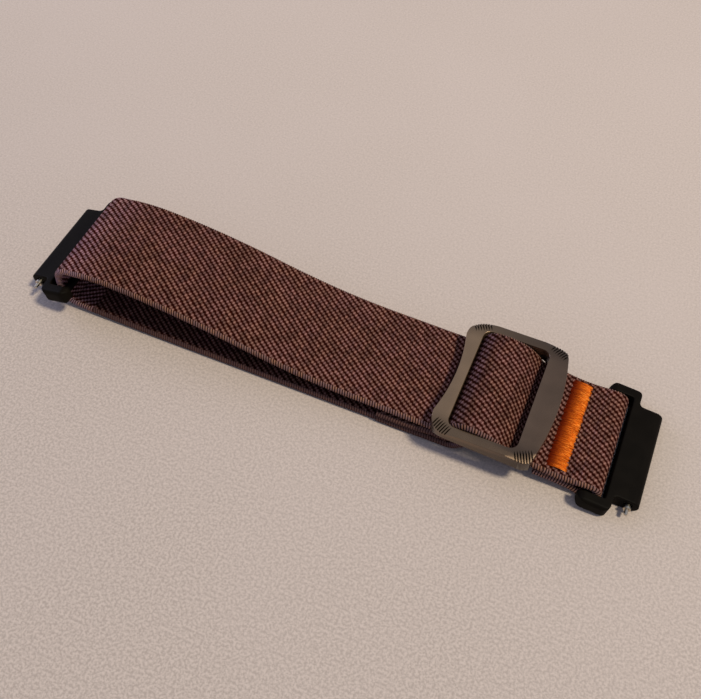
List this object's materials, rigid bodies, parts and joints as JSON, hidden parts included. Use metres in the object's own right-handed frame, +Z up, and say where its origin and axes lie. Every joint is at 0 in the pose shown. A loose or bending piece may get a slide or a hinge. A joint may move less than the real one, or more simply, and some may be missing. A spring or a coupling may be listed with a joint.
{
  "type": "watch strap",
  "caption": "Elastic woven watch strap doubled through a sliding frame buckle, with a sewn orange bartack and a spring bar adapter at each end.",
  "frame": {"origin": "on the table under the middle of the strap's box", "axes": "+X along the strap from the left adapter to the bartack end, +Y across it, +Z up"},
  "size_m": [0.1248, 0.0268, 0.013],
  "materials": {
    "webbing": "matte",
    "satin_thread": "satin",
    "seam_thread": "matte",
    "gunmetal": "satin",
    "black_plastic": "matte",
    "steel": "polished"
  },
  "bodies": {
    "fixed_end": {"end_fold": "webbing", "orange_bartack": "satin_thread", "single_run": "webbing"},
    "buckle": {"buckle_frame": "gunmetal", "centre_bar": "gunmetal", "buckle_hump": "webbing", "sewn_loop": "webbing", "loop_stitching": "seam_thread", "upper_run": "webbing", "lower_run": "webbing"},
    "folded_end": {"left_turn": "webbing"},
    "right_adapter_body": {"right_adapter": "black_plastic"},
    "right_bar": {"right_bar_barrel": "steel", "right_bar_spring": "steel"},
    "right_near_tip": {"right_bar_near_tip": "steel"},
    "right_far_tip": {"right_bar_far_tip": "steel"},
    "left_adapter_body": {"left_adapter": "black_plastic"},
    "left_bar": {"left_bar_barrel": "steel", "left_bar_spring": "steel"},
    "left_near_tip": {"left_bar_near_tip": "steel"},
    "left_far_tip": {"left_bar_far_tip": "steel"}
  },
  "joints": [
    {"name": "buckle_slide", "type": "slide", "parent": "fixed_end", "child": "buckle", "axis": [-1, 0, 0], "range_m": [0, 0.12], "deforming": ["single_run"]},
    {"name": "folded_end_slide", "type": "slide", "parent": "buckle", "child": "folded_end", "axis": [1, 0, 0], "range_m": [0, 0.06], "deforming": ["upper_run", "lower_run"]},
    {"name": "left_adapter_hinge", "type": "hinge", "parent": "folded_end", "child": "left_adapter_body", "pos_m": [-0.05318, 0, 0.0058], "axis": [0, 1, 0], "range_deg": [-10, 36]},
    {"name": "right_adapter_hinge", "type": "hinge", "parent": "fixed_end", "child": "right_adapter_body", "pos_m": [0.05299, 0, 0.00235], "axis": [0, 1, 0], "range_deg": [-100, 100]},
    {"name": "right_bar_slide", "type": "slide", "parent": "right_adapter_body", "child": "right_bar", "axis": [0, 1, 0], "range_m": [0, 0.0019]},
    {"name": "left_bar_slide", "type": "slide", "parent": "left_adapter_body", "child": "left_bar", "axis": [0, 1, 0], "range_m": [0, 0.0019]},
    {"name": "right_near_tip_slide", "type": "slide", "parent": "right_bar", "child": "right_near_tip", "axis": [0, 1, 0], "range_m": [0, 0.0011], "stiffness_N_per_m": 600, "deforming": ["right_bar_spring"]},
    {"name": "right_far_tip_slide", "type": "slide", "parent": "right_bar", "child": "right_far_tip", "axis": [0, -1, 0], "range_m": [0, 0.0011], "stiffness_N_per_m": 600, "deforming": ["right_bar_spring"]},
    {"name": "left_near_tip_slide", "type": "slide", "parent": "left_bar", "child": "left_near_tip", "axis": [0, 1, 0], "range_m": [0, 0.0011], "stiffness_N_per_m": 600, "deforming": ["left_bar_spring"]},
    {"name": "left_far_tip_slide", "type": "slide", "parent": "left_bar", "child": "left_far_tip", "axis": [0, -1, 0], "range_m": [0, 0.0011], "stiffness_N_per_m": 600, "deforming": ["left_bar_spring"]}
  ],
  "couplings": [
    {"joint": "folded_end_slide", "follows": "buckle_slide", "ratio": 0.5}
  ]
}
